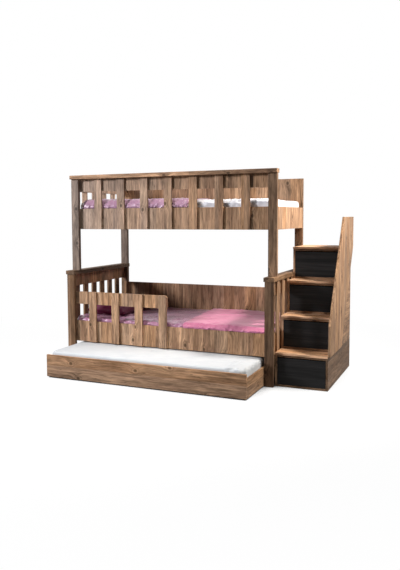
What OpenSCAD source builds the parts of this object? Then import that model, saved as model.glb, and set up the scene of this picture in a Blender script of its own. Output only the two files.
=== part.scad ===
// Bunk bed in oak-faced board: a wide lower bed, a narrower upper bed set back
// over it, a trundle bed on castors below and a staircase of four drawer boxes.
// X runs along the bed, Y from the front to the rear, Z up from the floor.

/* [Mattresses] */
// Length of the two bunk mattresses
mattress_length = 2000; // [1900:10:2100]
// Width of the lower mattress
lower_mattress_width = 1000; // [950:10:1100]
// Width of the upper mattress
upper_mattress_width = 900; // [850:10:940]
// Width of the trundle mattress
trundle_mattress_width = 900; // [850:10:920]
// Thickness of the two bunk mattresses
mattress_t = 160; // [120:5:180]
// Thickness of the trundle mattress
trundle_mattress_t = 158; // [120:2:160]
// Rise of a mattress's crown above its rolled edge
crown = 5; // [2:1:8]
// Radius of a mattress's rolled top edge
edge_roll = 28; // [20:1:36]
// How far a mattress's sides are drawn in at half height
side_draw = 4; // [0:1:8]
// Radius of a mattress's corners seen from above
mattress_corner = 60; // [40:5:80]

/* [Boards and posts] */
// Thickness of every board
board_t = 18; // [16:1:20]
// Width of a corner post across the front
post_w = 78; // [70:1:90]
// Room between a mattress's end and the bed's end
mattress_end_gap = 4; // [2:1:10]
// Room beside the lower mattress
lower_side_gap = 2; // [2:1:8]
// Room beside the upper mattress
upper_side_gap = 4; // [2:1:8]
// Height of the lower posts
lower_post_h = 904; // [880:2:940]
// Height of the upper posts
upper_post_h = 888; // [860:2:920]
// Thickness of the caps on both bed ends and on the upper guard
cap_t = 36; // [30:1:42]
// How far an end cap stands out past the posts
cap_over = 8; // [4:1:14]
// How far the upper cap rail stands out before the posts
top_cap_over = 25; // [10:1:35]
// How far the upper cap rail stands out at its ends
top_cap_end_over = 4; // [0:1:8]

/* [Side boards and guards] */
// Height of the side boards that hold a mattress
side_board_h = 200; // [180:5:220]
// Height of the open slot in a guard
guard_slot_h = 166; // [140:2:180]
// Height of a guard's top rail
guard_rail_h = 120; // [100:2:140]
// Height of the lower side boards above the floor
lower_side_z = 250; // [246:2:280]
// Width of a guard's upright boards
upright_w = 78; // [60:2:100]
// Number of spaces between uprights along the upper guard
upright_spaces = 8; // [7:1:9]
// Number of uprights on the lower guard
lower_upright_count = 4; // [2:1:5]
// How much nearer the head the lower uprights stand than the upper ones
lower_upright_shift = 16; // [0:1:30]
// Number of uprights on the upper bed's left end, without the corners
end_upright_count = 4; // [2:1:6]
// Radius of the lower guard's free upper corner
guard_corner = 22; // [10:1:38]
// Width of a slat in the lower bed's ends
end_slat_w = 75; // [50:5:90]
// Number of slats in each of the lower bed's ends
end_slat_count = 6; // [4:1:7]

/* [Slatted bases] */
// Height of the lower base's top above the underside of its side boards
lower_base_up = 65; // [58:1:80]
// Height of the upper base's top above the underside of its side boards
upper_base_up = 98; // [60:1:110]
// Width of a base slat
base_slat_w = 80; // [60:5:100]
// Number of slats in a base
base_slat_count = 13; // [8:1:15]
// Length of bare ledger between a base slat's end and the board beside it
base_slat_gap = 2; // [1:1:5]
// Width of the ledgers that carry the slats
ledger_w = 30; // [22:1:40]
// Height of the ledgers and of the centre bearers
ledger_h = 36; // [28:1:38]
// Width of the centre bearers
bearer_w = 40; // [30:2:60]

/* [Trundle bed] */
// How far the trundle bed stands out in front of the posts
trundle_out = 465; // [0:10:880]
// Height of the trundle's front panel
trundle_front_h = 200; // [190:2:220]
// How much lower the trundle's sides and back are than its front
trundle_side_drop = 40; // [20:2:60]
// Gap between the floor and the trundle box
trundle_floor_gap = 10; // [6:1:16]
// Running gap between the trundle's front and the posts
trundle_post_gap = 3; // [2:1:8]
// Room around the trundle mattress
trundle_mattress_gap = 2; // [1:1:5]
// Thickness of the trundle's base board
trundle_base_t = 16; // [12:1:18]
// Diameter of a castor wheel
wheel_d = 50; // [40:2:54]
// Width of a castor wheel
wheel_w = 20; // [14:1:26]
// Diameter of a castor's axle
axle_d = 8; // [6:1:10]
// Thickness of the castor bracket's steel
bracket_t = 2; // [1.5:0.5:3]
// Thickness of a castor wheel's rim
wheel_rim_t = 7; // [6:0.5:9]
// Radius of the edges of a castor wheel's tread
tread_round = 4; // [2:0.5:5]
// Distance of a castor from the trundle box's inner corner, both ways
castor_inset = 90; // [60:5:140]

/* [Stairs] */
// Outer width of the stair boxes
stair_w = 452; // [400:2:520]
// Height from one tread to the next
step_rise = 293.5; // [270:0.5:300]
// Depth of each step
step_run = 194; // [170:2:220]
// Distance of the lowest box's face behind the front of the posts
stair_front = 60; // [40:2:80]
// Distance of the boxes' backs before the rear of the bed
stair_rear_inset = 20; // [0:2:40]
// How far a tread stands out before its box
tread_over = 12; // [6:1:20]
// Gap above a drawer front, where fingers pull it
drawer_finger_gap = 8; // [5:1:14]
// Gap beside and below a drawer front
drawer_gap = 2; // [1:0.5:3]
// Length of a drawer box where the stair box has room for it
drawer_length = 500; // [400:10:560]
// Room kept behind the shortest drawer
drawer_rear_room = 22; // [10:2:40]
// Height of a drawer box's sides
drawer_side_h = 180; // [120:5:190]
// Thickness of a drawer box's sides and back
drawer_side_t = 15; // [13:1:18]
// Thickness of a drawer's bottom
drawer_bottom_t = 6; // [4:1:9]
// Glue line between the boards of a drawer box
glue_line = 0.1; // [0.05:0.05:0.2]
// Width of a drawer's runner batten
runner_w = 14; // [10:1:18]
// Height of a drawer's runner batten
runner_h = 20; // [14:1:24]
// Height of a runner's middle above the stair box's bottom panel
runner_up = 110; // [70:5:130]
// Depth of the groove that rides on the runner
groove_d = 7; // [5:1:9]
// Clearance around a runner in its groove
runner_clearance = 0.75; // [0.5:0.05:1]

/* [Handrail board] */
// Height of the handrail's highest edge
handrail_top_z = 1450; // [1380:5:1500]
// Height of the handrail's lower front corner
handrail_bottom_z = 285; // [240:5:292]
// Height at which the front edge starts to slope
handrail_slope_z = 545; // [500:5:600]
// Level length of the handrail's lower edge
handrail_foot = 489; // [420:1:560]
// Run of both slopes for each millimetre of rise
handrail_slope = 0.62; // [0.56:0.01:0.64]

/* [Joining hardware] */
// Diameter of the dowels that join posts and caps
dowel_d = 8; // [6:1:10]
// Length of a dowel
dowel_l = 30; // [24:1:32]
// Distance between the two dowels of a post
dowel_spread = 40; // [30:2:48]
// Diameter of the bolts that hold the stairs to the bed
bolt_d = 6; // [5:1:8]
// Diameter of a bolt's head
bolt_head_d = 15; // [12:1:20]
// Thickness of a bolt's head
bolt_head_t = 2; // [1.5:0.5:3]
// Clearance of dowels, bolts and axles in their holes, on the radius
pin_clearance = 0.05; // [0.02:0.01:0.1]

/* [Bedding] */
// Length of the pillow across the bed
pillow_l = 700; // [500:10:800]
// Width of the pillow along the bed
pillow_w = 460; // [350:10:520]
// Thickness of the pillow
pillow_h = 150; // [100:5:180]
// Distance of the pillow from the mattress's head end
pillow_inset = 25; // [10:1:60]
// Thickness of the folded blankets
blanket_t = 14; // [8:1:24]
// Height of a blanket's folds
fold_h = 9; // [4:1:14]
// Clearance between bedding and what it lies on
bedding_gap = 0.8; // [0.5:0.05:0.9]
// Distance of the lower blanket's edge from the middle of the bed
lower_blanket_x = 235; // [100:5:400]
// Shift of that edge towards the head from front to rear
lower_blanket_skew = 135; // [0:5:200]
// Distance of the upper blanket's edge from the middle of the bed
upper_blanket_x = 185; // [0:5:400]
// Distance of that blanket's other edge from the posts
upper_blanket_head = 25; // [10:1:60]

/* [Hidden] */

// Colours of the oak board, the drawers, the metal and the bedding
oak = "#9c7a5b";
oak_cap = "#8a6648";
pine = "#d8bf94";
charcoal = "#2b2a2a";
steel = "#b4b6b8";
nylon = "#1f1f20";
white_linen = "#f1f0f2";
lilac = "#c79ccb";
pink = "#e88fbf";
plum = "#4a1836";

// Facets of small round pieces
$fn = 48;

// Outlines of the frame: posts are two boards thick. The front ones stand before
// the side boards, whose uprights are half as thick, so the posts stand out
post_t = 2 * board_t;
front_t = post_t + board_t;
half_length = mattress_length / 2 + mattress_end_gap + post_t;
inner_half = half_length - post_t;
post_inner_x = half_length - post_w;
lower_inner_width = lower_mattress_width + 2 * lower_side_gap;
bed_depth = front_t + lower_inner_width + post_t;
upper_depth = front_t + upper_mattress_width + 2 * upper_side_gap + post_t;
upper_front = bed_depth - upper_depth;
rear_post_y = bed_depth - post_t;

// Heights of the frame
upper_post_z = lower_post_h + cap_t;
upper_top_z = upper_post_z + upper_post_h;
guard_stack_h = side_board_h + guard_slot_h + guard_rail_h;
upper_side_z = upper_top_z - guard_stack_h;
lower_guard_top_z = lower_side_z + guard_stack_h;
lower_base_z = lower_side_z + lower_base_up;
upper_base_z = upper_side_z + upper_base_up;

// Spacing of the uprights, slats and dowels
upright_pitch = (2 * half_length - post_w) / upright_spaces;
first_upright_x = -half_length + post_w / 2;
end_upright_pitch = (upper_depth - upright_w) / (end_upright_count + 1);
end_slat_space = (rear_post_y - post_t - end_slat_count * end_slat_w) / (end_slat_count + 1);
base_slat_pitch = (2 * inner_half - base_slat_w) / (base_slat_count - 1);

// Trundle box
trundle_half = post_inner_x - trundle_post_gap;
trundle_inner_half = trundle_half - board_t;
trundle_inner_depth = trundle_mattress_width + 2 * trundle_mattress_gap;
trundle_front_y = -trundle_out;
trundle_inner_y = trundle_front_y + board_t;
trundle_rear_y = trundle_inner_y + trundle_inner_depth + board_t;
trundle_side_z = trundle_floor_gap + trundle_front_h - trundle_side_drop;
wheel_top_gap = 10;
trundle_base_z = wheel_d + wheel_top_gap + bracket_t;
castor_x = trundle_inner_half - castor_inset;
castor_front_y = trundle_inner_y + castor_inset;
castor_rear_y = trundle_rear_y - board_t - castor_inset;
wheel_side_gap = 1;
bracket_half = wheel_w / 2 + wheel_side_gap + bracket_t;
axle_l = 2 * bracket_half + 4;

// Stair boxes, numbered from the lowest
step_count = 4;
steps = [for (k = [0:step_count - 1]) k];
stair_x = half_length;
stair_outer_x = stair_x + stair_w;
stair_rear = bed_depth - stair_rear_inset;
box_h = step_rise - board_t;
handrail_rear = bed_depth;

// Mattress section: a rolled top edge, then a crown that rises over crown_run
soft_seat = 0.3;
crown_run = 130;
crown_steps = 3;
roll_steps = 4;
foot_roll = 12;
roll_insets = [for (i = [0:roll_steps]) edge_roll * (1 - cos(90 * i / roll_steps))];
crown_insets = [for (i = [1:crown_steps]) edge_roll + crown_run * i / crown_steps];

// Spread of a blanket over a mattress: its hem on the board before it and the fall
// of that hem for each millimetre forwards, its last row short of the rear edge, the
// place of the first row on the flat, and the length over which it spans the crown's bend
blanket_hem = 14;
hem_fall = 1.4;
blanket_rear = edge_roll + 10;
blanket_first = edge_roll + crown_run + 60;
crown_span = 60;

// Bolts through the lower bed's end slats into the stair boxes, each screwed into
// a sleeve nut that is let in flush with the inside of the box
bolt_slats = [3, end_slat_count - 1];
bolt_rail_edge = 30;
bolt_heights = [lower_side_z + side_board_h / 2, lower_post_h - guard_rail_h + bolt_rail_edge];
bolt_l = 3 * board_t;

// The model's origin is the middle of its footprint
origin_x = (stair_outer_x + board_t - half_length - cap_over) / 2;
origin_y = (bed_depth + min(trundle_front_y, -cap_over)) / 2;

// Front face of stair box k
function box_front(k) = stair_front + k * step_run;
// Floor of stair box k
function box_z(k) = k * step_rise;
// Length of drawer k behind its front
function box_drawer_length(k) =
    min(drawer_length, stair_rear - box_front(k) - 2 * board_t - drawer_rear_room);
// Middle of the upright numbered i of the lower guard
function lower_upright_x(i) = first_upright_x + i * upright_pitch - lower_upright_shift;
// Left edge of the slat numbered i in a lower bed end, along Y
function end_slat_y(i) = post_t + end_slat_space + i * (end_slat_space + end_slat_w);

// Moves what is drawn in the bed's own axes to the model's origin
module placed() {
    translate([-origin_x, -origin_y, 0]) children();
}

// A straight board between two opposite corners
module board(low, high) {
    translate(low) cube(high - low);
}

// An upright round bar or hole
module bar_z(x, y, z, length, radius) {
    translate([x, y, z]) cylinder(h = length, r = radius);
}

// A round bar or hole along X
module bar_x(x, y, z, length, radius) {
    translate([x, y, z]) rotate([0, 90, 0]) cylinder(h = length, r = radius);
}

// Draws a piece at both ends of the bed
module both_ends() {
    children();
    mirror([1, 0, 0]) children();
}

// A right-hand corner post, two boards thick
module corner_post(y, z, h) {
    board([post_inner_x, y, z], [half_length, y + post_t, z + h]);
}

// A right-hand rear post, set in from the bed's end. Its inner layer is cut back
// from bottom to top, where a rear panel ends in it
module rear_post(set_in, z, h, bottom, top) {
    difference() {
        translate([-set_in, 0, 0]) corner_post(rear_post_y, z, h);
        board([0, rear_post_y, bottom], [inner_half, rear_post_y + board_t, top]);
    }
}

// The dowels, or their holes, in the joints at height z between a right-hand cap,
// the front post at front_y and the rear post, which is set in
module dowels(front_y, set_in, z, radius) {
    for (at = [[0, front_y], [set_in, rear_post_y]])
        for (side = [-1, 1])
            bar_z(half_length - at[0] - post_w / 2 + side * dowel_spread / 2, at[1] + board_t,
                  z - dowel_l / 2, dowel_l, radius);
}

// The dowels, or their holes, in all joints between posts and caps. The upper rear
// post on the right stands flush with the single board of the end beside it
module all_dowels(radius) {
    both_ends() dowels(0, 0, lower_post_h, radius);
    dowels(upper_front, board_t, upper_post_z, radius);
    mirror([1, 0, 0]) dowels(upper_front, 0, upper_post_z, radius);
}

// Lower posts, the rear ones rebated for the rear panel
module lower_posts() {
    placed() color(oak) difference() {
        both_ends() {
            corner_post(0, 0, lower_post_h);
            rear_post(0, 0, lower_post_h, lower_side_z, lower_guard_top_z);
        }
        all_dowels(dowel_d / 2 + pin_clearance);
    }
}

// Caps over the lower bed's ends. The right one is cut flush with the posts
// where the highest stair box stands beside it
module end_caps() {
    top_step = step_count - 1;
    placed() color(oak_cap) difference() {
        both_ends() board([post_inner_x - cap_over, -cap_over, lower_post_h],
                          [half_length + cap_over, bed_depth, upper_post_z]);
        board([half_length, box_front(top_step) - tread_over, lower_post_h - 1],
              [half_length + 2 * cap_over, bed_depth + 1, upper_post_z + 1]);
        all_dowels(dowel_d / 2 + pin_clearance);
    }
}

// Upper posts, standing on the end caps
module upper_posts() {
    placed() color(oak) difference() {
        union() {
            both_ends() corner_post(upper_front, upper_post_z, upper_post_h);
            mirror([1, 0, 0]) rear_post(0, upper_post_z, upper_post_h, upper_side_z, upper_top_z + 1);
            rear_post(board_t, upper_post_z, upper_post_h, upper_side_z, upper_top_z + 1);
        }
        all_dowels(dowel_d / 2 + pin_clearance);
    }
}

// Cap rail along the top of the upper guard
module upper_cap_rail() {
    end_x = half_length + top_cap_end_over;
    placed() color(oak_cap)
        board([-end_x, upper_front - top_cap_over, upper_top_z],
              [end_x, upper_front + front_t, upper_top_z + cap_t]);
}

// Top rail of the upper guard, behind the posts
module upper_guard_top_rail() {
    placed() color(oak)
        board([-inner_half, upper_front + post_t, upper_top_z - guard_rail_h],
              [inner_half, upper_front + front_t, upper_top_z]);
}

// Front side board of the upper bed
module upper_front_side_board() {
    placed() color(oak)
        board([-inner_half, upper_front + post_t, upper_side_z],
              [inner_half, upper_front + front_t, upper_side_z + side_board_h]);
}

// Uprights on the front of the upper guard
module upper_guard_uprights() {
    placed() color(oak) for (i = [1:upright_spaces - 1]) {
        x = first_upright_x + i * upright_pitch;
        board([x - upright_w / 2, upper_front + board_t, upper_side_z],
              [x + upright_w / 2, upper_front + post_t, upper_top_z]);
    }
}

// Top board of the upper bed's left end
module upper_left_end_top_board() {
    placed() color(oak)
        board([-inner_half - board_t, upper_front + post_t, upper_top_z - guard_rail_h],
              [-inner_half, rear_post_y, upper_top_z]);
}

// Side board of the upper bed's left end
module upper_left_end_side_board() {
    placed() color(oak)
        board([-inner_half - board_t, upper_front + post_t, upper_side_z],
              [-inner_half, rear_post_y, upper_side_z + side_board_h]);
}

// Uprights on the upper bed's left end. Two narrow ones make up the width of an
// upright with the sides of the posts
module upper_left_end_uprights() {
    placed() color(oak) {
        for (i = [1:end_upright_count]) {
            y = upper_front + i * end_upright_pitch;
            board([-half_length, y, upper_side_z],
                  [-half_length + board_t, y + upright_w, upper_top_z]);
        }
        board([-half_length, upper_front + post_t, upper_side_z],
              [-half_length + board_t, upper_front + upright_w, upper_top_z]);
        board([-half_length, bed_depth - upright_w, upper_side_z],
              [-half_length + board_t, rear_post_y, upper_top_z]);
    }
}

// Low board on the upper bed's right end, left open above for the stairs
module upper_right_end_board() {
    placed() color(oak)
        board([inner_half, upper_front + post_t, upper_side_z],
              [inner_half + board_t, rear_post_y, upper_side_z + side_board_h]);
}

// Rear panel of the upper bed
module upper_rear_panel() {
    placed() color(oak)
        board([-inner_half, rear_post_y, upper_side_z],
              [inner_half, rear_post_y + board_t, upper_top_z]);
}

// Rear panel of the lower bed
module lower_rear_panel() {
    placed() color(oak)
        board([-inner_half, rear_post_y, lower_side_z],
              [inner_half, rear_post_y + board_t, lower_guard_top_z]);
}

// Holes for the bolts between the right end and the stairs
module bolt_holes() {
    for (i = bolt_slats)
        for (z = bolt_heights)
            bar_x(inner_half - 1, end_slat_y(i) + end_slat_w / 2, z, bolt_l + board_t + 2,
                  bolt_d / 2 + pin_clearance);
}

// Top rails of the lower bed's ends
module lower_end_top_rails() {
    placed() color(oak) difference() {
        both_ends() board([inner_half, post_t, lower_post_h - guard_rail_h],
                          [inner_half + board_t, rear_post_y, lower_post_h]);
        bolt_holes();
    }
}

// Bottom rails of the lower bed's ends
module lower_end_bottom_rails() {
    placed() color(oak) difference() {
        both_ends() board([inner_half, post_t, lower_side_z],
                          [inner_half + board_t, rear_post_y, lower_side_z + side_board_h]);
        bolt_holes();
    }
}

// Outer slats of the lower bed's ends
module lower_end_slats() {
    placed() color(oak) difference() {
        both_ends() for (i = [0:end_slat_count - 1])
            board([half_length - board_t, end_slat_y(i), lower_side_z],
                  [half_length, end_slat_y(i) + end_slat_w, lower_post_h]);
        bolt_holes();
    }
}

// Front side rail of the lower bed
module lower_side_rail() {
    placed() color(oak)
        board([-inner_half, post_t, lower_side_z],
              [inner_half, front_t, lower_side_z + side_board_h]);
}

// Top rail of the lower guard, rounded where it ends in the open
module lower_guard_rail() {
    end_x = lower_upright_x(lower_upright_count) + upright_w / 2;
    placed() color(oak)
        translate([0, front_t, lower_guard_top_z - guard_rail_h]) rotate([90, 0, 0])
            linear_extrude(board_t) {
                translate([-inner_half, 0]) square([inner_half + end_x - guard_corner, guard_rail_h]);
                translate([-inner_half, 0]) square([inner_half + end_x, guard_rail_h - guard_corner]);
                translate([end_x - guard_corner, guard_rail_h - guard_corner]) circle(guard_corner);
            }
}

// Uprights of the lower guard. The free one is rounded with the rail's end
module lower_guard_uprights() {
    placed() color(oak) {
        for (i = [1:lower_upright_count - 1]) {
            x = lower_upright_x(i);
            board([x - upright_w / 2, board_t, lower_side_z],
                  [x + upright_w / 2, post_t, lower_guard_top_z]);
        }
        last_x = lower_upright_x(lower_upright_count) + upright_w / 2;
        translate([last_x - upright_w, post_t, lower_side_z]) rotate([90, 0, 0])
            linear_extrude(board_t) {
                square([upright_w - guard_corner, guard_stack_h]);
                square([upright_w, guard_stack_h - guard_corner]);
                translate([upright_w - guard_corner, guard_stack_h - guard_corner]) circle(guard_corner);
            }
    }
}

// Ledgers along the front and rear of a slatted base whose top is at base_z
module ledger_pair(front_y, base_z) {
    top_z = base_z - board_t;
    for (y = [front_y, rear_post_y - ledger_w])
        board([-inner_half, y, top_z - ledger_h], [inner_half, y + ledger_w, top_z]);
}

// Ledgers of the lower bed
module lower_bed_ledgers() {
    placed() color(pine) ledger_pair(front_t, lower_base_z);
}

// Ledgers of the upper bed
module upper_bed_ledgers() {
    placed() color(pine) ledger_pair(upper_front + front_t, upper_base_z);
}

// Bearers along the middle of both bases
module centre_bearers() {
    placed() color(pine) for (base = [[front_t, lower_base_z], [upper_front + front_t, upper_base_z]]) {
        middle_y = (base[0] + rear_post_y) / 2;
        top_z = base[1] - board_t;
        board([-inner_half, middle_y - bearer_w / 2, top_z - ledger_h],
              [inner_half, middle_y + bearer_w / 2, top_z]);
    }
}

// Slats across a base from the front board at front_y to the rear panel
module base_slats(front_y, base_z) {
    for (i = [0:base_slat_count - 1]) {
        x = -inner_half + i * base_slat_pitch;
        board([x, front_y + base_slat_gap, base_z - board_t],
              [x + base_slat_w, rear_post_y - base_slat_gap, base_z]);
    }
}

// Slats of the lower bed
module lower_bed_slats() {
    placed() color(pine) base_slats(front_t, lower_base_z);
}

// Slats of the upper bed
module upper_bed_slats() {
    placed() color(pine) base_slats(upper_front + front_t, upper_base_z);
}

// Beech dowels between the posts and the end caps
module post_dowels() {
    placed() color(pine) all_dowels(dowel_d / 2);
}

// Bolts through the bed's right end into the stair boxes, with a head at each end
module stair_bolts() {
    placed() color(steel) for (i = bolt_slats) for (z = bolt_heights) {
        y = end_slat_y(i) + end_slat_w / 2;
        bar_x(inner_half - bolt_head_t, y, z, bolt_l + bolt_head_t, bolt_d / 2);
        bar_x(inner_half - bolt_head_t, y, z, bolt_head_t, bolt_head_d / 2);
        bar_x(inner_half + bolt_l - bolt_head_t, y, z, bolt_head_t, bolt_head_d / 2);
    }
}

// Front panel of the trundle bed
module trundle_front() {
    placed() color(oak)
        board([-trundle_half, trundle_front_y, trundle_floor_gap],
              [trundle_half, trundle_inner_y, trundle_floor_gap + trundle_front_h]);
}

// Side panels of the trundle bed
module trundle_sides() {
    placed() color(oak) both_ends()
        board([trundle_inner_half, trundle_inner_y, trundle_floor_gap],
              [trundle_half, trundle_rear_y, trundle_side_z]);
}

// Back panel of the trundle bed
module trundle_back() {
    placed() color(oak)
        board([-trundle_inner_half, trundle_rear_y - board_t, trundle_floor_gap],
              [trundle_inner_half, trundle_rear_y, trundle_side_z]);
}

// Base board of the trundle bed
module trundle_base() {
    placed() color(pine)
        board([-trundle_inner_half, trundle_inner_y, trundle_base_z],
              [trundle_inner_half, trundle_rear_y - board_t, trundle_base_z + trundle_base_t]);
}

// Draws a piece at each of the four castors
module each_castor() {
    for (x = [-castor_x, castor_x])
        for (y = [castor_front_y, castor_rear_y])
            translate([x, y, wheel_d / 2]) children();
}

// Pressed steel forks under the trundle's base: a plate and two rounded cheeks
module castor_brackets() {
    plate_z = trundle_base_z - wheel_d / 2;
    cheek_r = wheel_d / 4;
    placed() color(steel) each_castor() difference() {
        union() {
            translate([-bracket_half, -cheek_r, 0])
                cube([2 * bracket_half, 2 * cheek_r, plate_z]);
            translate([-bracket_half, 0, 0]) rotate([0, 90, 0])
                cylinder(h = 2 * bracket_half, r = cheek_r);
            translate([-bracket_half - cheek_r, -wheel_d / 2, plate_z - bracket_t])
                cube([2 * (bracket_half + cheek_r), wheel_d, bracket_t]);
        }
        translate([bracket_t - bracket_half, -wheel_d, -wheel_d])
            cube([2 * (bracket_half - bracket_t), 2 * wheel_d, wheel_d + plate_z - bracket_t]);
        rotate([0, 90, 0]) translate([0, 0, -axle_l])
            cylinder(h = 2 * axle_l, r = axle_d / 2 + pin_clearance);
    }
}

// Axles riveted through the castor forks
module castor_axles() {
    placed() color(steel) each_castor() rotate([0, 90, 0])
        translate([0, 0, -axle_l / 2]) cylinder(h = axle_l, r = axle_d / 2);
}

// Nylon wheel with a rounded tread and a thinner web, turned about X
module castor_wheel(x, y) {
    half_w = wheel_w / 2;
    wheel_r = wheel_d / 2;
    bore_r = axle_d / 2 + pin_clearance;
    hub_r = axle_d;
    rim_inner_r = wheel_r - wheel_rim_t;
    web_half = wheel_w / 4;
    placed() color(nylon) translate([x, y, wheel_r]) rotate([0, 90, 0]) rotate_extrude(convexity = 4) {
        translate([bore_r, -half_w]) square([hub_r - bore_r, wheel_w]);
        translate([bore_r, -web_half]) square([wheel_r - axle_d, 2 * web_half]);
        translate([rim_inner_r, -half_w]) square([wheel_rim_t - tread_round, wheel_w]);
        translate([rim_inner_r, tread_round - half_w]) square([wheel_rim_t, wheel_w - 2 * tread_round]);
        for (side = [-1, 1])
            translate([wheel_r - tread_round, side * (half_w - tread_round)]) circle(tread_round);
    }
}

module castor_wheel_front_left() {
    castor_wheel(-castor_x, castor_front_y);
}

module castor_wheel_front_right() {
    castor_wheel(castor_x, castor_front_y);
}

module castor_wheel_rear_left() {
    castor_wheel(-castor_x, castor_rear_y);
}

module castor_wheel_rear_right() {
    castor_wheel(castor_x, castor_rear_y);
}

// Left sides of the stair boxes, against the bed's end
module stair_left_sides() {
    placed() color(oak) difference() {
        for (k = steps)
            board([stair_x, box_front(k), box_z(k)], [stair_x + board_t, stair_rear, box_z(k) + box_h]);
        bolt_holes();
        for (i = bolt_slats)
            for (z = bolt_heights)
                bar_x(inner_half + bolt_l - bolt_head_t, end_slat_y(i) + end_slat_w / 2, z,
                      2 * bolt_head_t, bolt_head_d / 2 + pin_clearance);
    }
}

// Right sides of the stair boxes
module stair_right_sides() {
    placed() color(oak) for (k = steps)
        board([stair_outer_x - board_t, box_front(k), box_z(k)],
              [stair_outer_x, stair_rear, box_z(k) + box_h]);
}

// Bottom and top panels between the sides of each stair box
module stair_decks() {
    placed() color(oak) for (k = steps) for (z = [box_z(k), box_z(k) + box_h - board_t])
        board([stair_x + board_t, box_front(k), z],
              [stair_outer_x - board_t, stair_rear, z + board_t]);
}

// Back panels of the stair boxes
module stair_backs() {
    placed() color(oak) for (k = steps)
        board([stair_x + board_t, stair_rear - board_t, box_z(k) + board_t],
              [stair_outer_x - board_t, stair_rear, box_z(k) + box_h - board_t]);
}

// Treads, each standing out before the box that it lies on
module stair_treads() {
    placed() color(oak_cap) for (k = steps)
        board([stair_x, box_front(k) - tread_over, box_z(k) + box_h],
              [stair_outer_x, stair_rear, box_z(k) + step_rise]);
}

// Handrail board up the outside of the stairs
module stair_handrail() {
    slope_rise = handrail_top_z - handrail_slope_z;
    rear_rise = (handrail_rear - stair_front - handrail_foot) / handrail_slope;
    placed() color(oak) translate([stair_outer_x, 0, 0]) rotate([90, 0, 90]) linear_extrude(board_t)
        polygon([
            [stair_front, handrail_bottom_z],
            [stair_front + handrail_foot, handrail_bottom_z],
            [handrail_rear, handrail_bottom_z + rear_rise],
            [handrail_rear, handrail_top_z],
            [stair_front + slope_rise * handrail_slope, handrail_top_z],
            [stair_front, handrail_slope_z]
        ]);
}

// Hardwood runner battens on the inside of the stair boxes
module drawer_runners() {
    placed() color(pine) for (k = steps) {
        y = box_front(k) + board_t + drawer_gap;
        z = box_z(k) + board_t + runner_up - runner_h / 2;
        for (x = [stair_x + board_t, stair_outer_x - board_t - runner_w])
            board([x, y, z], [x + runner_w, y + box_drawer_length(k), z + runner_h]);
    }
}

// Front of drawer k, set flush in its box with a finger gap above it
module drawer_front(k) {
    z = box_z(k) + board_t + drawer_gap;
    placed() color(charcoal)
        board([stair_x + board_t + drawer_gap, box_front(k), z],
              [stair_outer_x - board_t - drawer_gap, box_front(k) + board_t,
               box_z(k) + box_h - board_t - drawer_finger_gap]);
}

module drawer_1_front() {
    drawer_front(0);
}

module drawer_2_front() {
    drawer_front(1);
}

module drawer_3_front() {
    drawer_front(2);
}

module drawer_4_front() {
    drawer_front(3);
}

// Box of drawer k behind its front: two grooved sides, a back, a sub-front and a bottom
module drawer_box(k) {
    side_room = runner_w - groove_d + runner_clearance;
    left = stair_x + board_t + side_room;
    right = stair_outer_x - board_t - side_room;
    front = box_front(k) + board_t;
    rear = front + box_drawer_length(k);
    bottom = box_z(k) + board_t + drawer_gap + drawer_bottom_t;
    top = bottom + drawer_side_h;
    groove_z = box_z(k) + board_t + runner_up - runner_h / 2 - runner_clearance;
    placed() color(pine) {
        difference() {
            union() {
                board([left, front, bottom], [left + drawer_side_t, rear, top]);
                board([right - drawer_side_t, front, bottom], [right, rear, top]);
            }
            for (x = [left - 1, right - groove_d])
                board([x, front + drawer_gap - runner_clearance, groove_z],
                      [x + groove_d + 1, rear + 1, groove_z + runner_h + 2 * runner_clearance]);
        }
        for (y = [front, rear - drawer_side_t])
            board([left + drawer_side_t + glue_line, y, bottom],
                  [right - drawer_side_t - glue_line, y + drawer_side_t, top]);
        board([left, front, bottom - drawer_bottom_t], [right, rear, bottom - glue_line]);
    }
}

module drawer_1_box() {
    drawer_box(0);
}

module drawer_2_box() {
    drawer_box(1);
}

module drawer_3_box() {
    drawer_box(2);
}

module drawer_4_box() {
    drawer_box(3);
}

// Points of a rectangle with round corners, n to a corner, seen from above
function round_outline(length, width, radius, n) = [
    for (corner = [[1, 1, 0], [-1, 1, 90], [-1, -1, 180], [1, -1, 270]])
        for (i = [0:n - 1])
            let (a = corner[2] + 90 * i / (n - 1))
                [corner[0] * (length / 2 - radius) + radius * cos(a),
                 corner[1] * (width / 2 - radius) + radius * sin(a)]
];

// Height of a mattress's top at a distance in from its edge
function mattress_top(inset, t) =
    inset < edge_roll
        ? t - edge_roll + sqrt(edge_roll * edge_roll - pow(edge_roll - max(inset, 0), 2))
        : t + crown * sin(90 * min(1, (inset - edge_roll) / crown_run));

// Rings of a mattress from its foot up: inset from the outline, and height
function mattress_rings(t) = concat(
    [[foot_roll, 0], [foot_roll * 0.3, foot_roll * 0.3], [0, foot_roll]],
    [[side_draw, t / 2]],
    [for (inset = concat(roll_insets, crown_insets)) [inset, mattress_top(inset, t)]]
);

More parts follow.
